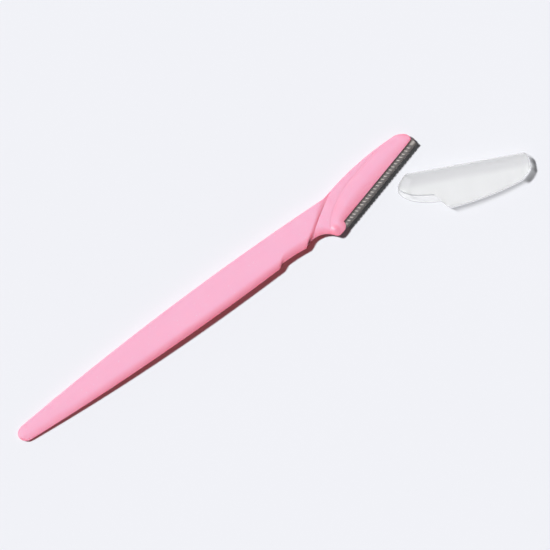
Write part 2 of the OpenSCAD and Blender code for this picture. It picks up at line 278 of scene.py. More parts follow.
# Outline of grip and head. s is the distance from the tail tip and u the distance along the cutting edge.
REST_START, REST_END = NOTCH_AT + NOTCH_RUN, HOLLOW_AT - HOLLOW_R / 2
SPINE_TOP_X = HEEL_AT + SPINE_TOP_SHARE * HEAD_LEN - BALANCE_AT
SPINE_TOP_Y = SPINE_RISE_SHARE * GRIP_W - SPINE_R
SPINE_U, SPINE_V = to_head(SPINE_TOP_X, SPINE_TOP_Y)
HOLLOW_U, HOLLOW_V = to_head(HOLLOW_AT - BALANCE_AT, -HOLLOW_Y - HOLLOW_R)
NOSE_V = HOLLOW_V + math.sqrt((HOLLOW_R + NOSE_R) ** 2 - (NOSE_BACK + HOLLOW_U) ** 2)
NOSE_START = mix(HOLLOW_U, -NOSE_BACK, HOLLOW_R / (HOLLOW_R + NOSE_R))
FLAT_END = NOSE_FLAT - NOSE_BACK


def spine_arc(x):
    """The spine's long arc in the row frame."""
    return SPINE_TOP_Y + SPINE_R * quarter((x - SPINE_TOP_X) / SPINE_R)


def grip_half(s):
    """Half the grip's width: a parabola that falls from the widest place, times the tail's quarter circle."""
    slope = np.square((WIDEST_AT - s) / (WIDEST_AT - TAIL_R))
    return (EDGE_W - (GRIP_W - TAIL_W) / 2 * slope) * quarter(np.maximum(0, 1 - s / TAIL_R))


def grip_spine(s):
    """Spine-side edge: half the grip's width, or the spine's arc where that stands further out."""
    return np.maximum(grip_half(s), spine_arc(s - BALANCE_AT))


def grip_edge(s):
    """Blade-side edge: half the grip's width, cut back by the finger rest, or by the hollow's circle.

    The rest starts with a smooth step and fades by a square law.
    """
    notch = ease((s - NOTCH_AT) / NOTCH_RUN)
    fade = 1 - np.square(np.clip((s - REST_START) / (REST_END - REST_START), 0, 1))
    hollow = HOLLOW_R * quarter((s - HOLLOW_AT) / HOLLOW_R) - HOLLOW_R - HOLLOW_Y
    return np.maximum(REST_DEPTH * notch * fade - grip_half(s), hollow)


def step_shift(y):
    """Distance along X by which the slanted, slightly bent step lies ahead at y."""
    return y * (STEP_SLOPE + STEP_BEND * y / GRIP_W)


NECK_START = float(to_head(STEP_AT + step_shift(-HOLLOW_Y) - BALANCE_AT, -HOLLOW_Y)[0])
LOW_FROM = NECK_START - NECK_LEAD


def step_end():
    """Where the step meets the spine: the two curves are followed in turn until they agree."""
    y = EDGE_W
    for _ in range(20):
        x = STEP_AT + step_shift(y) - BALANCE_AT
        y = spine_arc(x)
    return x, y


def tip_share(u, gap, start):
    """Quarter circle that closes an outline from start to the tip, at the distance gap beyond the head."""
    return quarter(np.maximum(0, (u - start) / (HEAD_LEN + gap - start)))


def spine_line(u, gap):
    """The spine's long arc, moved out by gap."""
    return SPINE_V + (SPINE_R + gap) * quarter((u - SPINE_U) / (SPINE_R + gap))


def wrap_high(u, gap=0):
    """The spine's arc, closed at the tip by a quarter ellipse."""
    return mix(TIP_V, spine_line(u, gap), tip_share(u, gap, HEAD_LEN - TIP_ROUND))


def head_low(u):
    """Hollow's circle, nose's circle, flat, quarter ellipse up to the lip, and the lip with its corner."""
    under = NOSE_V - NOSE_R
    hollow = HOLLOW_V + HOLLOW_R * quarter((u - HOLLOW_U) / HOLLOW_R)
    nose = NOSE_V - NOSE_R * quarter(np.minimum(0, u + NOSE_BACK) / NOSE_R)
    rise = mix(EXPOSED_W, under, quarter(np.clip((u - FLAT_END) / (LIP_AT - FLAT_END), 0, 1)))
    lip = mix(TIP_V, EXPOSED_W, tip_share(u, 0, HEAD_LEN - TIP_CORNER))
    return np.select([u < NOSE_START, u < FLAT_END, u < LIP_AT], [hollow, nose, rise], lip)


def crease_line(u):
    """Quarter ellipse from the heel to the widest place of the cheek, then a parabola towards the tip."""
    top = EXPOSED_W + CHEEK_W
    ahead = CREASE_DROP / 2 * np.square((u - CHEEK_AT) / (HEAD_LEN - CREASE_BACK))
    return np.where(u < CHEEK_AT, top * quarter((CHEEK_AT - u) / CREASE_BACK), top - ahead)


def head_thickness(u):
    """Thickness of the head, which falls evenly from its thickest place to the tip."""
    return mix(HEAD_T, TIP_T, (u - THICK_AT) / (HEAD_LEN - THICK_AT))


def outline(function, start, end, count=700):
    """Polyline of a function of u, dense towards both of its ends."""
    u = mix(start, end, (1 - np.cos(np.linspace(0, np.pi, count))) / 2)
    return np.stack([u, function(u)], 1)


def distance_to(line, u, v):
    """Shortest distance from each point to a polyline: the least over its pieces, block by block."""
    block = 4000
    a, b = line[:-1], line[1:]
    d = b - a
    flat = np.stack([u.ravel(), v.ravel()], 1)
    best = np.zeros(len(flat))
    for start in range(0, len(flat), block):
        p = flat[start : start + block, None, :] - a
        t = np.clip((p * d).sum(2) / np.maximum((d * d).sum(1), 1e-12), 0, 1)
        best[start : start + block] = np.sqrt(np.square(p - t[..., None] * d).sum(2).min(1))
    return best.reshape(u.shape)


def even_path(points, count):
    """count points at even arc length along a polyline."""
    step = np.hypot(*np.diff(points, axis=0).T)
    arc = np.concatenate([[0], np.cumsum(step)])
    at = np.linspace(0, arc[-1], count)
    return np.stack([np.interp(at, arc, points[:, 0]), np.interp(at, arc, points[:, 1])], 1)


# Meshes
def ring_numbers(rings, base=0):
    """Point numbers of a grid of rings, counted from base."""
    m, n = rings.shape[:2]
    return base + np.arange(m * n).reshape(m, n)


def side_faces(numbers):
    """Quads between each ring of point numbers and the next."""
    a, b = numbers[:-1], numbers[1:]
    return np.stack([a, np.roll(a, -1, 1), np.roll(b, -1, 1), b], -1).reshape(-1, 4)


def end_faces(ring):
    """Quads that fill a ring of point numbers between its first half and its second, which runs back."""
    n = len(ring)
    row = np.arange(n // 2 - 1)
    return ring[np.stack([row, n - 1 - row, n - 2 - row, row + 1], -1)]


def join_bodies(bodies):
    """Points and faces of closed bodies: grids of rings, of shape (rings, points, 3), with filled ends."""
    points, faces, base = [], [], 0
    for rings in bodies:
        numbers = ring_numbers(rings, base)
        faces += [side_faces(numbers), end_faces(numbers[0]), end_faces(numbers[-1])[:, ::-1]]
        points.append(rings.reshape(-1, 3))
        base += numbers.size
    return np.vstack(points), faces


def add_mesh(name, points, faces, body, slot_name, node, sharp, marks=None):
    """Makes an object of points in millimetres and faces, and puts it on its body in place of the CAD node.

    Points that meet are merged, and edges are smooth up to the angle sharp. marks holds one value a point
    under the name of a mesh attribute.
    """
    mesh = bpy.data.meshes.new(name)
    mesh.from_pydata((points * MM).tolist(), [], [face for block in faces for face in block.tolist()])
    mesh.validate()
    mesh.update()
    for label, values in (marks or {}).items():
        mesh.attributes.new(label, "FLOAT", "POINT").data.foreach_set("value", values.astype(np.float32))
    piece = bpy.data.objects.new(name, mesh)
    bpy.context.scene.collection.objects.link(piece)
    shape = bmesh.new()
    shape.from_mesh(mesh)
    bmesh.ops.remove_doubles(shape, verts=shape.verts, dist=MERGE_WITHIN)
    bmesh.ops.dissolve_degenerate(shape, edges=shape.edges, dist=NO_LENGTH)
    bmesh.ops.recalc_face_normals(shape, faces=shape.faces)
    shape.to_mesh(mesh)
    shape.free()
    mesh.shade_smooth()
    mesh.set_sharp_from_angle(angle=math.radians(sharp))
    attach(piece, body)
    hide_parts(node)
    return piece


# Handle
even = np.linspace(0, 1, LINE_POINTS)
ACROSS = even - CROWDING * np.sin(2 * np.pi * even) / (2 * np.pi)


def grip_lines():
    """Lines across the grip, put out as x, y, upper height and lower height.

    Each line leans by its share of the step's slant, up to the step itself. The upper face falls by a
    square law to the blade side and to the step, and by a quarter circle to the spine side. The lower face
    rises by a square law to both sides, and by a quarter circle to the step. Where the shoulder has already
    taken some of the thickness away, the step takes less.
    """
    tail = TAIL_R * (1 - np.cos(TAIL_ANGLES))
    long = np.arange(TAIL_R, NOTCH_AT - REST_AHEAD, LONG_SPACING)
    step_from = STEP_ROUND + STEP_AHEAD
    rest = np.arange(NOTCH_AT - REST_AHEAD, STEP_AT - step_from - REST_GAP, REST_SPACING)
    step = STEP_AT - step_from * (1 - np.sin(quarter_turn(STEP_LINES)))
    s = np.concatenate([tail, long, rest, step])[:, None]
    lean = ease((s - WIDEST_AT) / (STEP_AT - WIDEST_AT))
    low, high = -EDGE_W + 0 * s, EDGE_W + 0 * s
    for _ in range(4):
        low, high = grip_edge(s + lean * step_shift(low)), grip_spine(s + lean * step_shift(high))
    y = mix(low, high, ACROSS)
    x = s + lean * step_shift(y)
    t = mix(GRIP_T, TAIL_T, np.square(np.minimum(0, s - WIDEST_AT) / (WIDEST_AT - TAIL_R)))
    w = np.minimum(SHOULDER_W, SHOULDER_MOST * (high - low))
    rim = np.minimum(RIM_R, RIM_MOST * (high - low))
    dip = undercut(y - low, w, SHOULDER_SHARE * t * quarter(1 - w / SHOULDER_W))
    off, less = STEP_AT - s, PROUD + dip * (1 - (NECK_Z - NECK_LIFT) / GRIP_T)
    longer = STEP_ROUND * (1 + STEP_FADE * ease(np.abs(y) / EDGE_W))
    top = t - dip - fall(high - y, rim, rim) - undercut(off, longer, GRIP_T - NECK_Z - less)
    bottom = dip + undercut(high - y, w, BACK_SHARE * t) + fall(off, STEP_ROUND, NECK_LIFT - less)
    return x - BALANCE_AT, y, top, bottom


def head_lines():
    """Lines across neck and head, in the head frame, put out as u and v.

    They fan out from the step's curve as quadratic curves, which straighten on the way, then run square to
    the edge up to the tip.
    """
    u = np.concatenate([np.linspace(NECK_START, NOSE_START, CURVE_POINTS),
                        np.linspace(NOSE_START, FLAT_END, CURVE_POINTS)[1:],
                        mix(FLAT_END, LIP_AT, np.sin(quarter_turn(CURVE_POINTS)))[1:],
                        np.linspace(LIP_AT, FAN_END, EDGE_POINTS)[1:]])
    low = even_path(np.stack([u, head_low(u)], 1), FAN_LINES)
    along = np.linspace(0, 1, FAN_LINES)
    x1, y1 = step_end()
    u_high = mix(float(to_head(x1, y1)[0]), FAN_END, along)
    high = np.stack([u_high, wrap_high(u_high)], 1)
    x0, y0 = (float(a) for a in from_head(*low[0]))
    slope = STEP_SLOPE + 2 * STEP_BEND * y0 / GRIP_W
    on_step = np.array(to_head(x0 + slope * (y1 - y0) / 2, (y0 + y1) / 2))
    upright = np.stack([mix(low[:, 0], high[:, 0], FAN_LEAN_SHARE), mix(low[:, 1], high[:, 1], 0.5)], 1)
    middle = mix(on_step, upright, ease(along)[:, None])
    w = ACROSS[None, :, None]
    fan = low[:, None] * (1 - w) ** 2 + 2 * middle[:, None] * w * (1 - w) + high[:, None] * w**2
    end = HEAD_LEN - TIP_ROUND
    u = np.concatenate([np.arange(FAN_END + FAN_GAP, end, HEAD_SPACING),
                        mix(end, HEAD_LEN, np.sin(TIP_ANGLES))])[:, None]
    v = mix(head_low(u), wrap_high(u), ACROSS)
    return np.vstack([fan[..., 0], u + 0 * v]), np.vstack([fan[..., 1], v])


def head_faces(u, v):
    """Heights of the head's upper and lower face.

    The cheek swells from the lip to a crown by a power law and falls to the crease by a smooth step. Beyond
    the crease the face is flat up to the spine's rim. The neck's face lies lower and rises to the heel by a
    smooth step. The crease is a groove and the heel's dome a hill, both by the law exp(-d^2).
    """
    crease_start = CHEEK_AT - CREASE_BACK
    low_line = np.vstack([outline(head_low, LOW_FROM, FLAT_END), outline(head_low, FLAT_END, LIP_AT),
                          outline(head_low, LIP_AT, HEAD_LEN)])
    from_edge = distance_to(low_line, u, v)
    from_spine = distance_to(outline(wrap_high, SPINE_FROM, HEAD_LEN), u, v)
    from_crease = distance_to(outline(crease_line, crease_start + CREASE_LATE, HEAD_LEN), u, v)
    cheek = (v < crease_line(u)) & (u > crease_start)
    rise = ease((u - NOSE_START) / (THICK_AT - NOSE_START))
    heel = ease((u + HEEL_RISE / 2 - NOSE_START) / HEEL_RISE)
    half = head_thickness(np.maximum(u, THICK_AT)) / 2
    crown = mix(HEEL_H, half, ease((u + NOSE_BACK) / (THICK_AT + NOSE_BACK)))
    far = np.minimum(from_crease, from_spine)
    q = np.where(cheek, from_edge / np.maximum(from_edge + far, 1e-9), 1)
    thick = mix(NECK_Z - NECK_LIFT, 2 * half, rise)
    back = np.minimum(SHOULDER_W, RIM_MOST * (wrap_high(u) - head_low(u)))
    fade = ease((wrap_high(u) - crease_line(u)) / CREASE_FADE)
    groove = CREASE_D * heel * fade * np.exp(-np.square(from_crease / CREASE_W))
    tip = (1 + tip_share(u, 0, HEAD_LEN - TIP_ROUND)) / 2
    dome = DOME_H * np.exp(-(np.square(u - DOME_U) + np.square(v - DOME_V)) / DOME_SPREAD)
    faces = []
    for sign, neck, near_spine in ((1, NECK_Z, fall(from_spine, RIM_R, RIM_R)),
                                   (-1, NECK_LIFT, undercut(from_spine, back, BACK_SHARE * thick))):
        top = BLADE_Z + sign * crown
        side = mix(neck, top - sign * CREASE_D, rise)
        shoulder = (1 - heel) * undercut(from_edge, SHOULDER_W, SHOULDER_SHARE * thick)
        plain = side - sign * (near_spine + shoulder)
        lip = BLADE_Z + sign * LIP_H
        up = mix(top, lip, np.power(np.clip(1 - q / CROWN_SHARE, 0, 1), CHEEK_POWER))
        down = mix(top, side, ease((q - CROWN_SHARE) / (1 - CROWN_SHARE)))
        swell = np.where(q < CROWN_SHARE, up, down) - sign * near_spine
        z = np.where(cheek, mix(plain, swell, heel), plain) - sign * groove + (dome if sign > 0 else 0)
        faces.append(mix(BLADE_Z, z, tip))
    return faces


def make_handle():
    """The whole handle as one skin: rings of an upper and a lower line, from the tail to the head's tip."""
    grip_x, grip_y, grip_top, grip_bottom = grip_lines()
    u, v = head_lines()
    head_top, head_bottom = head_faces(u, v)
    head_x, head_y = from_head(u, v)
    x, y = np.vstack([grip_x, head_x]), np.vstack([grip_y, head_y])
    top, bottom = np.vstack([grip_top, head_top]), np.vstack([grip_bottom, head_bottom])
    rings = np.concatenate([np.stack([x, y, top], -1), np.stack([x, y, bottom], -1)[:, ::-1]], 1)
    return add_mesh("moulded_handle", *join_bodies([rings]), "razor", "pink_plastic", "handle", 40)


# Blade and guard
def strip_end(v):
    """Where the strip ends at v: slanted outwards up to the lip, then square inside the head."""
    slanted = HEAD_LEN - STRIP_SLANT + STRIP_SLANT * v / EXPOSED_W
    return np.where(v <= EXPOSED_W + 1e-6, slanted, HEAD_LEN - TIP_COVER)


def make_blade():
    """Ground strip: its profile is an edge, a bevel and a flat, carried along u to the slanted end."""
    v = np.array([EDGE_BACK, EDGE_BACK + BEVEL_W, EXPOSED_W, EXPOSED_W + LIP_JUMP, HELD_TO])
    z = np.array([EDGE_HALF] + 4 * [BLADE_T / 2])
    v, z = np.concatenate([v, v[::-1]]), BLADE_Z + np.concatenate([z, -z[::-1]])
    u = mix(HEEL_IN, strip_end(v) - TIP_IN, np.linspace(0, 1, STRIP_LINES)[:, None])
    points, faces = join_bodies([head_points(u, v, z)])
    return add_mesh("ground_blade", points, faces, "razor", "blade_steel", "blade", 20)


def fold_profile(inset, swell):
    """Profile of a rib over the cutting edge, from its foot above the blade to its foot below, as v and z.

    It rises by a squared sine from the foot to a crest, swell high, and comes down in a half ellipse. inset
    moves it inwards.
    """
    foot = np.linspace(1, CREST_SHARE, FOOT_POINTS)[:-1]
    bulge = swell * np.sin(np.pi / 2 * (1 - foot) / (1 - CREST_SHARE)) ** 2
    a = np.linspace(np.pi / 2, -np.pi / 2, FOLD_POINTS)
    crest, half = CREST_SHARE * WINDOW_W, STRIP_T / 2
    v = np.concatenate([foot * WINDOW_W, crest - (crest - inset) * np.cos(a), foot[::-1] * WINDOW_W])
    flank = half + bulge - inset
    z = np.concatenate([flank, (half + swell - inset) * np.sin(a), -flank[::-1]])
    return np.stack([v, BLADE_Z + z])


def rib_rings(start, end):
    """One rib: the fold's outer and inner profile, carried from start to end and rounded at its corners.

    The rib leans towards the tip by a share of v and widens by a smooth step at the fold.
    """
    swell = RIB_BULGE if end - start < RIB_PITCH else END_BULGE_SHARE * RIB_BULGE
    rings = []
    for u, inset, way in ((start, RIB_SOFT, -1), (start + RIB_SOFT, 0, -1),
                          (end - RIB_SOFT, 0, 1), (end, RIB_SOFT, 1)):
        outer, inner = fold_profile(inset, swell), fold_profile(GUARD_T - inset / 2, swell)
        v, z = np.concatenate([outer, inner[:, ::-1]], 1)
        flare = way * RIB_FLARE * ease(1 - 2 * v / WINDOW_W)
        rings.append(head_points(np.clip(u - RIB_LEAN * v + flare, 0, HEAD_LEN - STRIP_SLANT), v, z))
    return np.array(rings)


def band_rings(sign):
    """Flat band above or below the blade, from the windows to its held edge inside the head."""
    v = np.array([WINDOW_W, WINDOW_W + RIB_SOFT, EXPOSED_W, EXPOSED_W + LIP_JUMP, HELD_TO])
    outer = np.array([STRIP_T / 2 - RIB_SOFT / 2] + 4 * [STRIP_T / 2])
    inner = np.full(len(v), BLADE_T / 2 + SNUG)
    v, z = np.concatenate([v, v[::-1]]), BLADE_Z + sign * np.concatenate([outer, inner])
    return head_points(np.linspace(0, 1, STRIP_LINES)[:, None] * strip_end(v), v, z)


def make_guard():
    """Folded comb: two flat bands inside the lip, joined by ribs that run round the cutting edge.

    The first and the last rib are wide, and end square with the strip.
    """
    count = int((HEAD_LEN - STRIP_SLANT - COMB_AT) / RIB_PITCH)
    ribs = [(COMB_AT - RIB_W + i * RIB_PITCH, COMB_AT + i * RIB_PITCH) for i in range(2, count)]
    first = (-RIB_OVER, COMB_AT + RIB_PITCH)
    last = (COMB_AT - RIB_W + count * RIB_PITCH, HEAD_LEN + RIB_OVER)
    bodies = [rib_rings(*rib) for rib in (first, *ribs, last)] + [band_rings(1), band_rings(-1)]
    points, faces = join_bodies(bodies)
    return add_mesh("comb_guard", points, faces, "razor", "guard_steel", "guard", 45)


# Cap
CAP_SIDE_TOP = float(spine_line(CAP_STEP_AT, CAP_GAP))


def mouth_curve(length, width):
    """Cut line of one wall, from the blade side to the spine.

    A nearly straight corner, whose sine and cosine are raised to a power, runs into a quarter ellipse around
    the tongue's end. A slanted step leads on to the spine side.
    """
    side, nose = width - CAP_GAP, TONGUE_NOSE * width - CAP_GAP
    start = CAP_STEP_AT + CAP_STEP_RUN * (width - TONGUE_W) / (CAP_SIDE_TOP + CAP_GAP - TONGUE_W)
    corner = -length * (1 - TONGUE_NOSE)
    a, b = quarter_turn(CURVE_POINTS), quarter_turn(2 * CURVE_POINTS)[1:]
    step = np.linspace(0, 1, CURVE_POINTS)[1:]
    u = [mix(corner, -length, np.sin(a) ** CORNER_POWER), mix(start, -length, np.cos(b)),
         mix(start, CAP_STEP_AT + CAP_STEP_RUN, step)]
    v = [mix(nose, -CAP_GAP, np.abs(np.cos(a)) ** CORNER_POWER), mix(nose, side, np.sin(b)),
         mix(side, CAP_SIDE_TOP, step)]
    return np.stack([np.concatenate(u), np.concatenate(v)], 1)


def cap_low(u, gap):
    """Blade side of the cap, closed at the tip by a quarter ellipse."""
    return mix(TIP_V, -gap, tip_share(u, gap, HEAD_LEN - CAP_CORNER))


def cap_row(curve, cut, gap, wall, radius, upper, along):
    """One wall as lines that run from its cut line to the tip, each at its own share of the width.

    Lines near the sides follow the rounded edges, which fall by a quarter circle, and so does the tip end.
    The lines start at places of v taken from curve, and their u there is taken from cut.
    """
    rim = 1 - np.cos(quarter_turn(RIM_POINTS))
    inner = even_path(curve, MOUTH_POINTS)[:, 1]
    least, most = CAP_ROUND - CAP_GAP + RIM_CLEAR, CAP_SIDE_TOP - CAP_ROUND - RIM_CLEAR
    inner = inner[(inner > least) & (inner < most)]
    low_rim, high_rim = rim * radius - gap, CAP_SIDE_TOP - CAP_GAP + gap - radius * rim[::-1]
    start_v = np.concatenate([low_rim, inner, high_rim])
    start_u = np.interp(np.clip(start_v, cut[0, 1], cut[-1, 1]), cut[:, 1], cut[:, 0])
    low, high = cap_low(start_u, gap), wrap_high(start_u, gap)
    share = (start_v - low - radius) / (high - low - 2 * radius)
    end = HEAD_LEN + gap
    u = mix(start_u, end - CAP_TIP_IN, along[:, None])
    low, high = cap_low(u, gap), wrap_high(u, gap)
    w = np.minimum(radius, CAP_RIM_MOST * (high - low))
    v = mix(low + w, high - w, share)
    v[:, :RIM_POINTS] = low[:, :RIM_POINTS] + rim * w[:, :RIM_POINTS]
    v[:, -RIM_POINTS:] = high[:, -RIM_POINTS:] - rim[::-1] * w[:, -RIM_POINTS:]
    dip = wall + fall(np.minimum(np.minimum(v - low, high - v), end - u), w, w)
    return u, v, head_thickness(u) + 2 * (CAP_FIT + CAP_WALL) - dip if upper else dip


def cap_marks(u, v, z, upper_count):
    """Three marks a point: how dense the plastic looks, how far it is cut, and a band of painted shade along
    the blade side.

    The plastic looks denser at the tip, at the tip's round corner, low along the spine side, along the blade
    side and at the mouth. Each place fades by a smooth step. The first upper_count points of a ring belong to
    the upper wall.
    """
    from_spine, from_side = wrap_high(u, CAP_GAP) - v, v - cap_low(u, CAP_GAP)
    corner = ease((u - HEAD_LEN + TIP_ROUND) / CORNER_RUN) * ease((CORNER_W - from_spine) / CORNER_FADE)
    end = ease((u - HEAD_LEN - END_AT) / END_FADE)
    tip = TIP_DENSE * np.maximum(end, CORNER_DENSE * corner) * ease((z - FLOOR_FREE) / HEIGHT_FADE)
    low_part = ease((z - SPINE_LOW) / HEIGHT_FADE) * (1 - ease((z - SPINE_HIGH) / HEIGHT_FADE))
    spine = SPINE_DENSE * ease(1 - from_spine / SPINE_W) * low_part
    side = SIDE_DENSE * ease(1 - from_side / SIDE_W)
    dense = np.maximum(np.maximum(tip, spine), side)
    dense[0] = MOUTH_DENSE
    cut = np.zeros_like(u)
    cut[0] = np.where(np.arange(u.shape[1]) < upper_count, 1, LOWER_CUT)
    # The third mark is painted shade, strongest along the blade side
    return dense, cut, ease((SHADE_BAND_W - v) / SHADE_BAND_FADE)


def cap_skin(gap, wall, radius, along):
    """Outer or inner skin of the cap, as closed rings from the mouth to the tip, with x, y, z and the marks.

    The inner skin's cut line stands back a little along the tongue, so that the cut shows as a narrow slope.
    """
    plan = mouth_curve(TONGUE_LEN, TONGUE_W)
    slope = mouth_curve(TONGUE_LEN + CUT_BACK, TONGUE_W + CUT_SIDE)
    back = np.interp(plan[:, 1], slope[:, 1], slope[:, 0])
    slanted = np.stack([mix(plan[:, 0], back, ease(plan[:, 1] / CUT_FADE) if wall else 0), plan[:, 1]], 1)
    lower_plan = mouth_curve(TONGUE_LEN + CAP_WALL / 2, TONGUE_W + TONGUE_EXTRA)
    upper = cap_row(plan, slanted, gap, wall, radius, True, along)
    lower = cap_row(lower_plan, lower_plan, gap, wall, radius, False, along)
    u, v, z = (np.concatenate([a, b[:, ::-1]], 1) for a, b in zip(upper, lower))
    marks = cap_marks(u, v, z, upper[0].shape[1])
    c, s = math.cos(CAP_ANGLE), math.sin(CAP_ANGLE)
    return np.stack([CAP_AT - BALANCE_AT + u * c + v * s, -CAP_DROP + u * s - v * c, z, *marks], -1)


def make_cap():
    """Closed shell: the outer skin, the inner skin, the cut edge between them and both tip ends."""
    along = np.concatenate([[0], np.linspace(CAP_LINE_SHARE, CAP_LONG_SHARE, CAP_LINES),
                            mix(CAP_LONG_SHARE, 1, np.sin(CAP_TIP_ANGLES))])
    outer = cap_skin(CAP_GAP - SKIN_IN, 0, CAP_ROUND, along)
    inner = cap_skin(CAP_ROOM, CAP_WALL, CAP_ROUND - CAP_WALL, along)
    outer_numbers = ring_numbers(outer)
    inner_numbers = ring_numbers(inner, outer_numbers.size)
    faces = []
    for numbers in (outer_numbers, inner_numbers):
        faces += [side_faces(numbers), end_faces(numbers[-1])]
    faces.append(side_faces(np.stack([outer_numbers[0], inner_numbers[0]])))
    points = np.vstack([outer.reshape(-1, 6), inner.reshape(-1, 6)])
    marks = {"dense": points[:, 3], "cut": points[:, 4], "band": points[:, 5]}
    return add_mesh("clear_cap", points[:, :3], faces, "loose_cap", "clear_plastic", "cap", 40, marks)


# Materials
def new_group(name, inputs, outputs):
    """Empty shader group with float inputs and the given outputs, and its two end nodes."""
    tree = bpy.data.node_groups.new(name, "ShaderNodeTree")
    for label, value in inputs.items():
        tree.interface.new_socket(label, in_out="INPUT", socket_type="NodeSocketFloat").default_value = value
    for label in outputs:
        tree.interface.new_socket(label, in_out="OUTPUT", socket_type="NodeSocketFloat")
    return tree, tree.nodes.new("NodeGroupInput"), tree.nodes.new("NodeGroupOutput")


def math_node(tree, operation, a, b=0):
    """Math node on one or two values or sockets."""
    node = tree.nodes.new("ShaderNodeMath")
    node.operation = operation
    for socket, value in zip(node.inputs, (a, b)):
        if isinstance(value, (int, float)):
            socket.default_value = value
        else:
            tree.links.new(value, socket)
    return node.outputs[0]


def noise_node(tree, vector, scale, detail):
    """Noise on a vector, put out as its factor."""
    node = tree.nodes.new("ShaderNodeTexNoise")
    node.inputs["Scale"].default_value = scale
    node.inputs["Detail"].default_value = detail
    tree.links.new(vector, node.inputs["Vector"])
    return node.outputs["Fac"]


def ramp_node(tree, value, start, end, first=0.0, last=1.0, kind="LINEAR"):
    """Ramp that takes a value from start and end to first and last, and stays between them."""
    node = tree.nodes.new("ShaderNodeMapRange")
    node.interpolation_type = kind
    for label, number in (("From Min", start), ("From Max", end), ("To Min", first), ("To Max", last)):
        node.inputs[label].default_value = number
    tree.links.new(value, node.inputs["Value"])
    return node.outputs["Result"]


def colour_node(tree, factor, first, second):
    """Mixture of two colours, each a value or a socket, by a factor."""
    node = tree.nodes.new("ShaderNodeMix")
    node.data_type = "RGBA"
    for label, colour in (("A", first), ("B", second)):
        if isinstance(colour, tuple):
            node.inputs[label].default_value = (*colour, 1)
        else:
            tree.links.new(colour, node.inputs[label])
    tree.links.new(factor, node.inputs["Factor"])
    return node.outputs["Result"]


def object_place(tree):
    """Place on the object, in metres."""
    return tree.nodes.new("ShaderNodeTexCoord").outputs["Object"]


def rough_grain(tree, grain, start, end):
    """Puts out the base roughness plus the grain's share around its middle."""
    share = math_node(tree, "MULTIPLY", math_node(tree, "SUBTRACT", grain, 0.5), start.outputs["Grain"])
    tree.links.new(math_node(tree, "ADD", share, start.outputs["Base Roughness"]), end.inputs["Roughness"])


def moulded_skin_group():
    """Skin of a moulded plastic: wide flow waves, a fine polish grain and sparse dust.

    Height is the waves plus a little grain. Roughness is a base value plus the grain's share. Dust marks
    specks.
    """
    tree, start, end = new_group("moulded_skin", {"Base Roughness": 0.3, "Grain": 0.1, "Dust": 0.6},
                                 ("Height", "Roughness", "Dust"))
    place = object_place(tree)
    waves = noise_node(tree, place, scale=90.0, detail=2.0)
    grain = noise_node(tree, place, scale=2600.0, detail=4.0)
    specks = noise_node(tree, place, scale=1500.0, detail=1.0)
    fine = math_node(tree, "MULTIPLY", grain, 0.12)
    tree.links.new(math_node(tree, "ADD", waves, fine), end.inputs["Height"])
    rough_grain(tree, grain, start, end)
    tree.links.new(math_node(tree, "GREATER_THAN", specks, start.outputs["Dust"]), end.inputs["Dust"])
    return tree


def drawn_metal_group():
    """Grain of drawn and ground steel: noise stretched along the cutting edge, with worn patches."""
    tree, start, end = new_group("drawn_metal", {"Base Roughness": 0.3, "Grain": 0.2},
                                 ("Height", "Roughness", "Wear"))
    place = object_place(tree)
    turn = tree.nodes.new("ShaderNodeMapping")
    turn.vector_type = "TEXTURE"
    turn.inputs["Rotation"].default_value = (0, 0, BLADE_ANGLE)
    turn.inputs["Scale"].default_value = (14.0, 1.0, 1.0)
    tree.links.new(place, turn.inputs["Vector"])
    lines = noise_node(tree, turn.outputs["Vector"], scale=9000.0, detail=3.0)
    tree.links.new(lines, end.inputs["Height"])
    rough_grain(tree, lines, start, end)
    tree.links.new(noise_node(tree, place, scale=700.0, detail=2.0), end.inputs["Wear"])
    return tree


def new_material(name, group, **settings):
    """Material of a Principled shader and a group. A setting goes to the group if it has that input."""
    material = bpy.data.materials.new(name)
    material.use_nodes = True
    tree = material.node_tree
    shader = tree.nodes["Principled BSDF"]
    effect = None
    if group:
        effect = tree.nodes.new("ShaderNodeGroup")
        effect.node_tree = group
    for label, value in settings.items():
        label = label.replace("_", " ")
        (effect if effect and label in effect.inputs else shader).inputs[label].default_value = value
    return material, tree, shader, effect


def add_skin(tree, shader, effect, strength, distance):
    """Joins a group's roughness to the shader, and its height through a bump node, which is put out."""
    tree.links.new(effect.outputs["Roughness"], shader.inputs["Roughness"])
    bump = tree.nodes.new("ShaderNodeBump")
    bump.inputs["Strength"].default_value = strength
    bump.inputs["Distance"].default_value = distance
    tree.links.new(effect.outputs["Height"], bump.inputs["Height"])
    tree.links.new(bump.outputs["Normal"], shader.inputs["Normal"])
    return bump


def ray_kinds(tree):
    """1 or 0 for a ray that asks for a lamp's light, and for one that carries light on from a matt face."""
    path = tree.nodes.new("ShaderNodeLightPath")
    return path.outputs["Is Shadow Ray"], path.outputs["Is Diffuse Ray"]


def mark(tree, name):
    """Value of a mesh attribute."""
    node = tree.nodes.new("ShaderNodeAttribute")
    node.attribute_name = name
    return node.outputs["Fac"]


def part_of(tree, vector, axis):
    """One axis of a vector."""
    node = tree.nodes.new("ShaderNodeSeparateXYZ")
    tree.links.new(vector, node.inputs[0])
    return node.outputs[axis]


def flat_normal(tree, times):
    """Normal whose part across the thickness counts several times."""
    flatter = tree.nodes.new("ShaderNodeVectorMath")
    flatter.operation = "MULTIPLY"
    flatter.inputs[1].default_value = (1, 1, times)
    tree.links.new(tree.nodes.new("ShaderNodeNewGeometry").outputs["Normal"], flatter.inputs[0])
    unit = tree.nodes.new("ShaderNodeVectorMath")
    unit.operation = "NORMALIZE"
    tree.links.new(flatter.outputs["Vector"], unit.inputs[0])
    return unit.outputs["Vector"]


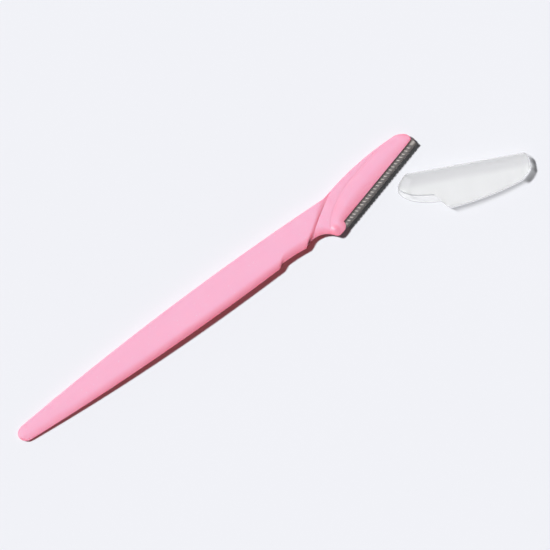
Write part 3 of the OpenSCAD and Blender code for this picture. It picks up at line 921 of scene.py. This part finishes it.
# Pink plastic
PINK = (0.99, 0.49, 0.65)
PINK_DUST = (0.97, 0.6, 0.72)
# Painted shade: a deeper, darker pink that steep faces of the shoulders and edges take on in place of their
# shading
PINK_PAINTED_SHADE = (0.99, 0.245, 0.345)
PINK_DIM = (0.42, 0.18, 0.26)
RED_GRIP = (0.4, 0.02, 0.04)  # light that shines through the grip and through the head
RED_HEAD = (0.16, 0.02, 0.035)
GRIP_TO, HEAD_FROM = 0.057, 0.062  # places along X in metres
FLATTENED = 3
# Clear plastic: how much of it shows to the eye, and how much it shades
CLEAR = (0.75, 0.755, 0.745)
# Painted shade: the darker clear of the band along the blade side
CLEAR_PAINTED_SHADE = (0.62, 0.622, 0.622)
CLEAR_CUT = (0.4, 0.41, 0.42)
SEEN_FACE_ON, SEEN_EDGE_ON, FACING_FROM = 0.21, 0.48, 0.25
SEEN_CUT = 0.65
DENSE_THINS, MATT_THINS = 0.7, 0.6
SHADE_DENSE, SHADE_LEAST = 0.8, 0.02
# Steel and table
BLADE_DARK, BLADE_LIGHT = (0.38, 0.355, 0.36), (0.5, 0.475, 0.475)
GUARD_DARK, GUARD_LIGHT = (0.32, 0.295, 0.28), (0.43, 0.4, 0.38)
TABLE_DARK, TABLE_LIGHT = (0.783, 0.79, 0.829), (0.794, 0.801, 0.84)


def pink_plastic(skin):
    """Pink polystyrene: soft to the light, and with painted shade: its colour turns deeper and darker where
    the face turns towards its thin edges.

    Light that scatters under the skin flattens the shading, so the normal's part across the thickness counts
    threefold. Some red light shines through into the shadow, less of it through the head. The pink that matt
    faces such as the table get back from it is dimmed.
    """
    material, tree, shader, effect = new_material(
        "pink_plastic", skin, Base_Roughness=0.38, Grain=0.08, Dust=0.74, IOR=1.45,
        Subsurface_Weight=1.0, Subsurface_Radius=(1.0, 0.85, 0.85), Subsurface_Scale=0.0002,
        Coat_Weight=0.6, Coat_Roughness=0.36)
    place = tree.nodes.new("ShaderNodeTexCoord")
    upward = math_node(tree, "ABSOLUTE", part_of(tree, place.outputs["Normal"], "Z"))
    turned = math_node(tree, "SQRT", math_node(tree, "SUBTRACT", 1.0, upward))
    turned = math_node(tree, "MINIMUM", math_node(tree, "MULTIPLY", turned, 2.0), 1.0)
    lamp_ray, matt_ray = ray_kinds(tree)
    dusty = colour_node(tree, effect.outputs["Dust"], PINK, PINK_DUST)
    # Painted shade: the colour deepens as the face turns away from the flat
    slope_shaded = colour_node(tree, turned, dusty, PINK_PAINTED_SHADE)
    tree.links.new(colour_node(tree, matt_ray, slope_shaded, PINK_DIM), shader.inputs["Base Color"])
    bump = add_skin(tree, shader, effect, strength=0.25, distance=0.0002)
    tree.links.new(flat_normal(tree, FLATTENED), bump.inputs["Normal"])
    ahead = ramp_node(tree, part_of(tree, place.outputs["Object"], "X"), GRIP_TO, HEAD_FROM)
    through = tree.nodes.new("ShaderNodeBsdfTransparent")
    tree.links.new(colour_node(tree, ahead, RED_GRIP, RED_HEAD), through.inputs["Color"])
    either = tree.nodes.new("ShaderNodeMixShader")
    tree.links.new(lamp_ray, either.inputs["Fac"])
    tree.links.new(shader.outputs["BSDF"], either.inputs[1])
    tree.links.new(through.outputs["BSDF"], either.inputs[2])
    tree.links.new(either.outputs["Shader"], tree.nodes["Material Output"].inputs["Surface"])
    return material


def clear_plastic(skin):
    """Clear, slightly milky plastic: mostly seen through face on, and milkier edge on.

    To the eye it shows by a ramp over its angle, a little less where it is dense, and clearly where it is
    cut. It shades by its density alone, and its colour carries painted shade: darker in a band along the
    blade side, where the side wall's shadow falls inside. To rays from matt faces such as the table it shows
    less.
    """
    material, tree, shader, effect = new_material(
        "clear_plastic", skin, Base_Roughness=0.22, Grain=0.06, Dust=0.76, IOR=1.49,
        Subsurface_Weight=1.0, Subsurface_Radius=(1.0, 1.0, 1.0), Subsurface_Scale=0.0008)
    facing = tree.nodes.new("ShaderNodeLayerWeight")
    facing.inputs["Blend"].default_value = 0.5
    milk = ramp_node(tree, facing.outputs["Facing"], FACING_FROM, 1.0, SEEN_FACE_ON, SEEN_EDGE_ON)
    cut, dense = mark(tree, "cut"), mark(tree, "dense")
    lamp_ray, matt_ray = ray_kinds(tree)
    thin = math_node(tree, "SUBTRACT", 1.0, math_node(tree, "MULTIPLY", dense, DENSE_THINS))
    seen = math_node(tree, "MAXIMUM", math_node(tree, "MULTIPLY", milk, thin),
                     math_node(tree, "MULTIPLY", cut, SEEN_CUT))
    hidden = math_node(tree, "MAXIMUM", lamp_ray, math_node(tree, "MULTIPLY", matt_ray, MATT_THINS))
    shown = math_node(tree, "MULTIPLY", seen, math_node(tree, "SUBTRACT", 1.0, hidden))
    shade = math_node(tree, "MAXIMUM", math_node(tree, "MULTIPLY", dense, SHADE_DENSE), SHADE_LEAST)
    alpha = math_node(tree, "ADD", shown, math_node(tree, "MULTIPLY", shade, lamp_ray))
    tree.links.new(alpha, shader.inputs["Alpha"])
    # Painted shade: the colour darkens in the band along the blade side
    shade_banded = colour_node(tree, mark(tree, "band"), CLEAR, CLEAR_PAINTED_SHADE)
    tree.links.new(colour_node(tree, cut, shade_banded, CLEAR_CUT), shader.inputs["Base Color"])
    add_skin(tree, shader, effect, strength=0.2, distance=0.0002)
    return material


def steel(metal, name, dark, light, rough):
    """Drawn or ground steel between two greys."""
    material, tree, shader, effect = new_material(name, metal, Base_Roughness=rough, Grain=0.2, Metallic=1.0)
    tree.links.new(colour_node(tree, effect.outputs["Wear"], dark, light), shader.inputs["Base Color"])
    add_skin(tree, shader, effect, strength=0.3, distance=0.00002)
    return material


def table_top():
    """Pale matt table, very slightly uneven in tone."""
    material, tree, shader, _ = new_material("pale_table", None, Roughness=0.9, Specular_IOR_Level=0.1)
    uneven = noise_node(tree, object_place(tree), scale=12.0, detail=2.0)
    tree.links.new(colour_node(tree, uneven, TABLE_DARK, TABLE_LIGHT), shader.inputs["Base Color"])
    return material


skin_group, metal_group = moulded_skin_group(), drawn_metal_group()
handle, blade, guard, cap = make_handle(), make_blade(), make_guard(), make_cap()
handle.data.materials.append(pink_plastic(skin_group))
cap.data.materials.append(clear_plastic(skin_group))
blade.data.materials.append(steel(metal_group, "ground_steel", BLADE_DARK, BLADE_LIGHT, 0.5))
guard.data.materials.append(steel(metal_group, "guard_steel", GUARD_DARK, GUARD_LIGHT, 0.6))

# Table, in metres. It lies a hair below the razor, so that the two never share a plane.
TABLE_HALF = 1.5
TABLE_BELOW = 0.00003
mesh = bpy.data.meshes.new("table_top")
mesh.from_pydata([(-TABLE_HALF, -TABLE_HALF, 0), (TABLE_HALF, -TABLE_HALF, 0),
                  (TABLE_HALF, TABLE_HALF, 0), (-TABLE_HALF, TABLE_HALF, 0)], [], [(0, 1, 2, 3)])
table = bpy.data.objects.new("table_top", mesh)
table.location = (0, 0, -TABLE_BELOW)
bpy.context.scene.collection.objects.link(table)
mesh.materials.append(table_top())

# Light. right and up are the picture's directions in the row's frame, and away is where the shadows fall.
TABLE_LEVEL = 1.09
SUN_SHARE = 0.95
SUN_ELEVATION = math.radians(47)
SUN_WIDTH = math.radians(7)
TURN = math.radians(-36.0)
SHADOW_DROP = math.radians(24)
right = np.array([math.cos(TURN), math.sin(TURN), 0])
up = np.array([-math.sin(TURN), math.cos(TURN), 0])
away = right * math.cos(SHADOW_DROP) - up * math.sin(SHADOW_DROP)

lamp = bpy.data.lights.new("window_light", "SUN")
lamp.energy = TABLE_LEVEL * SUN_SHARE * math.pi / math.sin(SUN_ELEVATION)
lamp.angle = SUN_WIDTH
sun = bpy.data.objects.new("window_light", lamp)
bpy.context.scene.collection.objects.link(sun)
ray = Vector(away * math.cos(SUN_ELEVATION) - np.array([0, 0, math.sin(SUN_ELEVATION)]))
sun.rotation_euler = ray.to_track_quat("-Z", "Y").to_euler()


def room():
    """World: a dim room with a bright band along the horizon."""
    world = bpy.data.worlds.new("room")
    bpy.context.scene.world = world
    world.use_nodes = True
    tree = world.node_tree
    height = part_of(tree, tree.nodes.new("ShaderNodeTexCoord").outputs["Generated"], "Z")
    level = ramp_node(tree, height, 0.05, 0.45, first=0.5, last=0.05, kind="SMOOTHSTEP")
    background = tree.nodes["Background"]
    tree.links.new(level, background.inputs["Strength"])
    background.inputs["Color"].default_value = (1, 1, 1, 1)


room()

# Camera, straight above
PICTURE_PIXELS = 550
PIXELS_PER_MM = 3.213
DISTANCE = 0.9
VIEW_X, VIEW_Y, VIEW_Z = 0.0393, -0.0058, 0.002
SENSOR_W = 36.0
camera_data = bpy.data.cameras.new("camera")
camera_data.sensor_width = SENSOR_W
camera_data.lens = SENSOR_W * DISTANCE / (PICTURE_PIXELS / PIXELS_PER_MM * MM)
camera_data.clip_end = 10.0
camera = bpy.data.objects.new("camera", camera_data)
camera.location = (VIEW_X, VIEW_Y, DISTANCE + VIEW_Z)
camera.rotation_euler = (0, 0, TURN)
bpy.context.scene.collection.objects.link(camera)
bpy.context.scene.camera = camera
bpy.context.scene.view_settings.view_transform = "Standard"
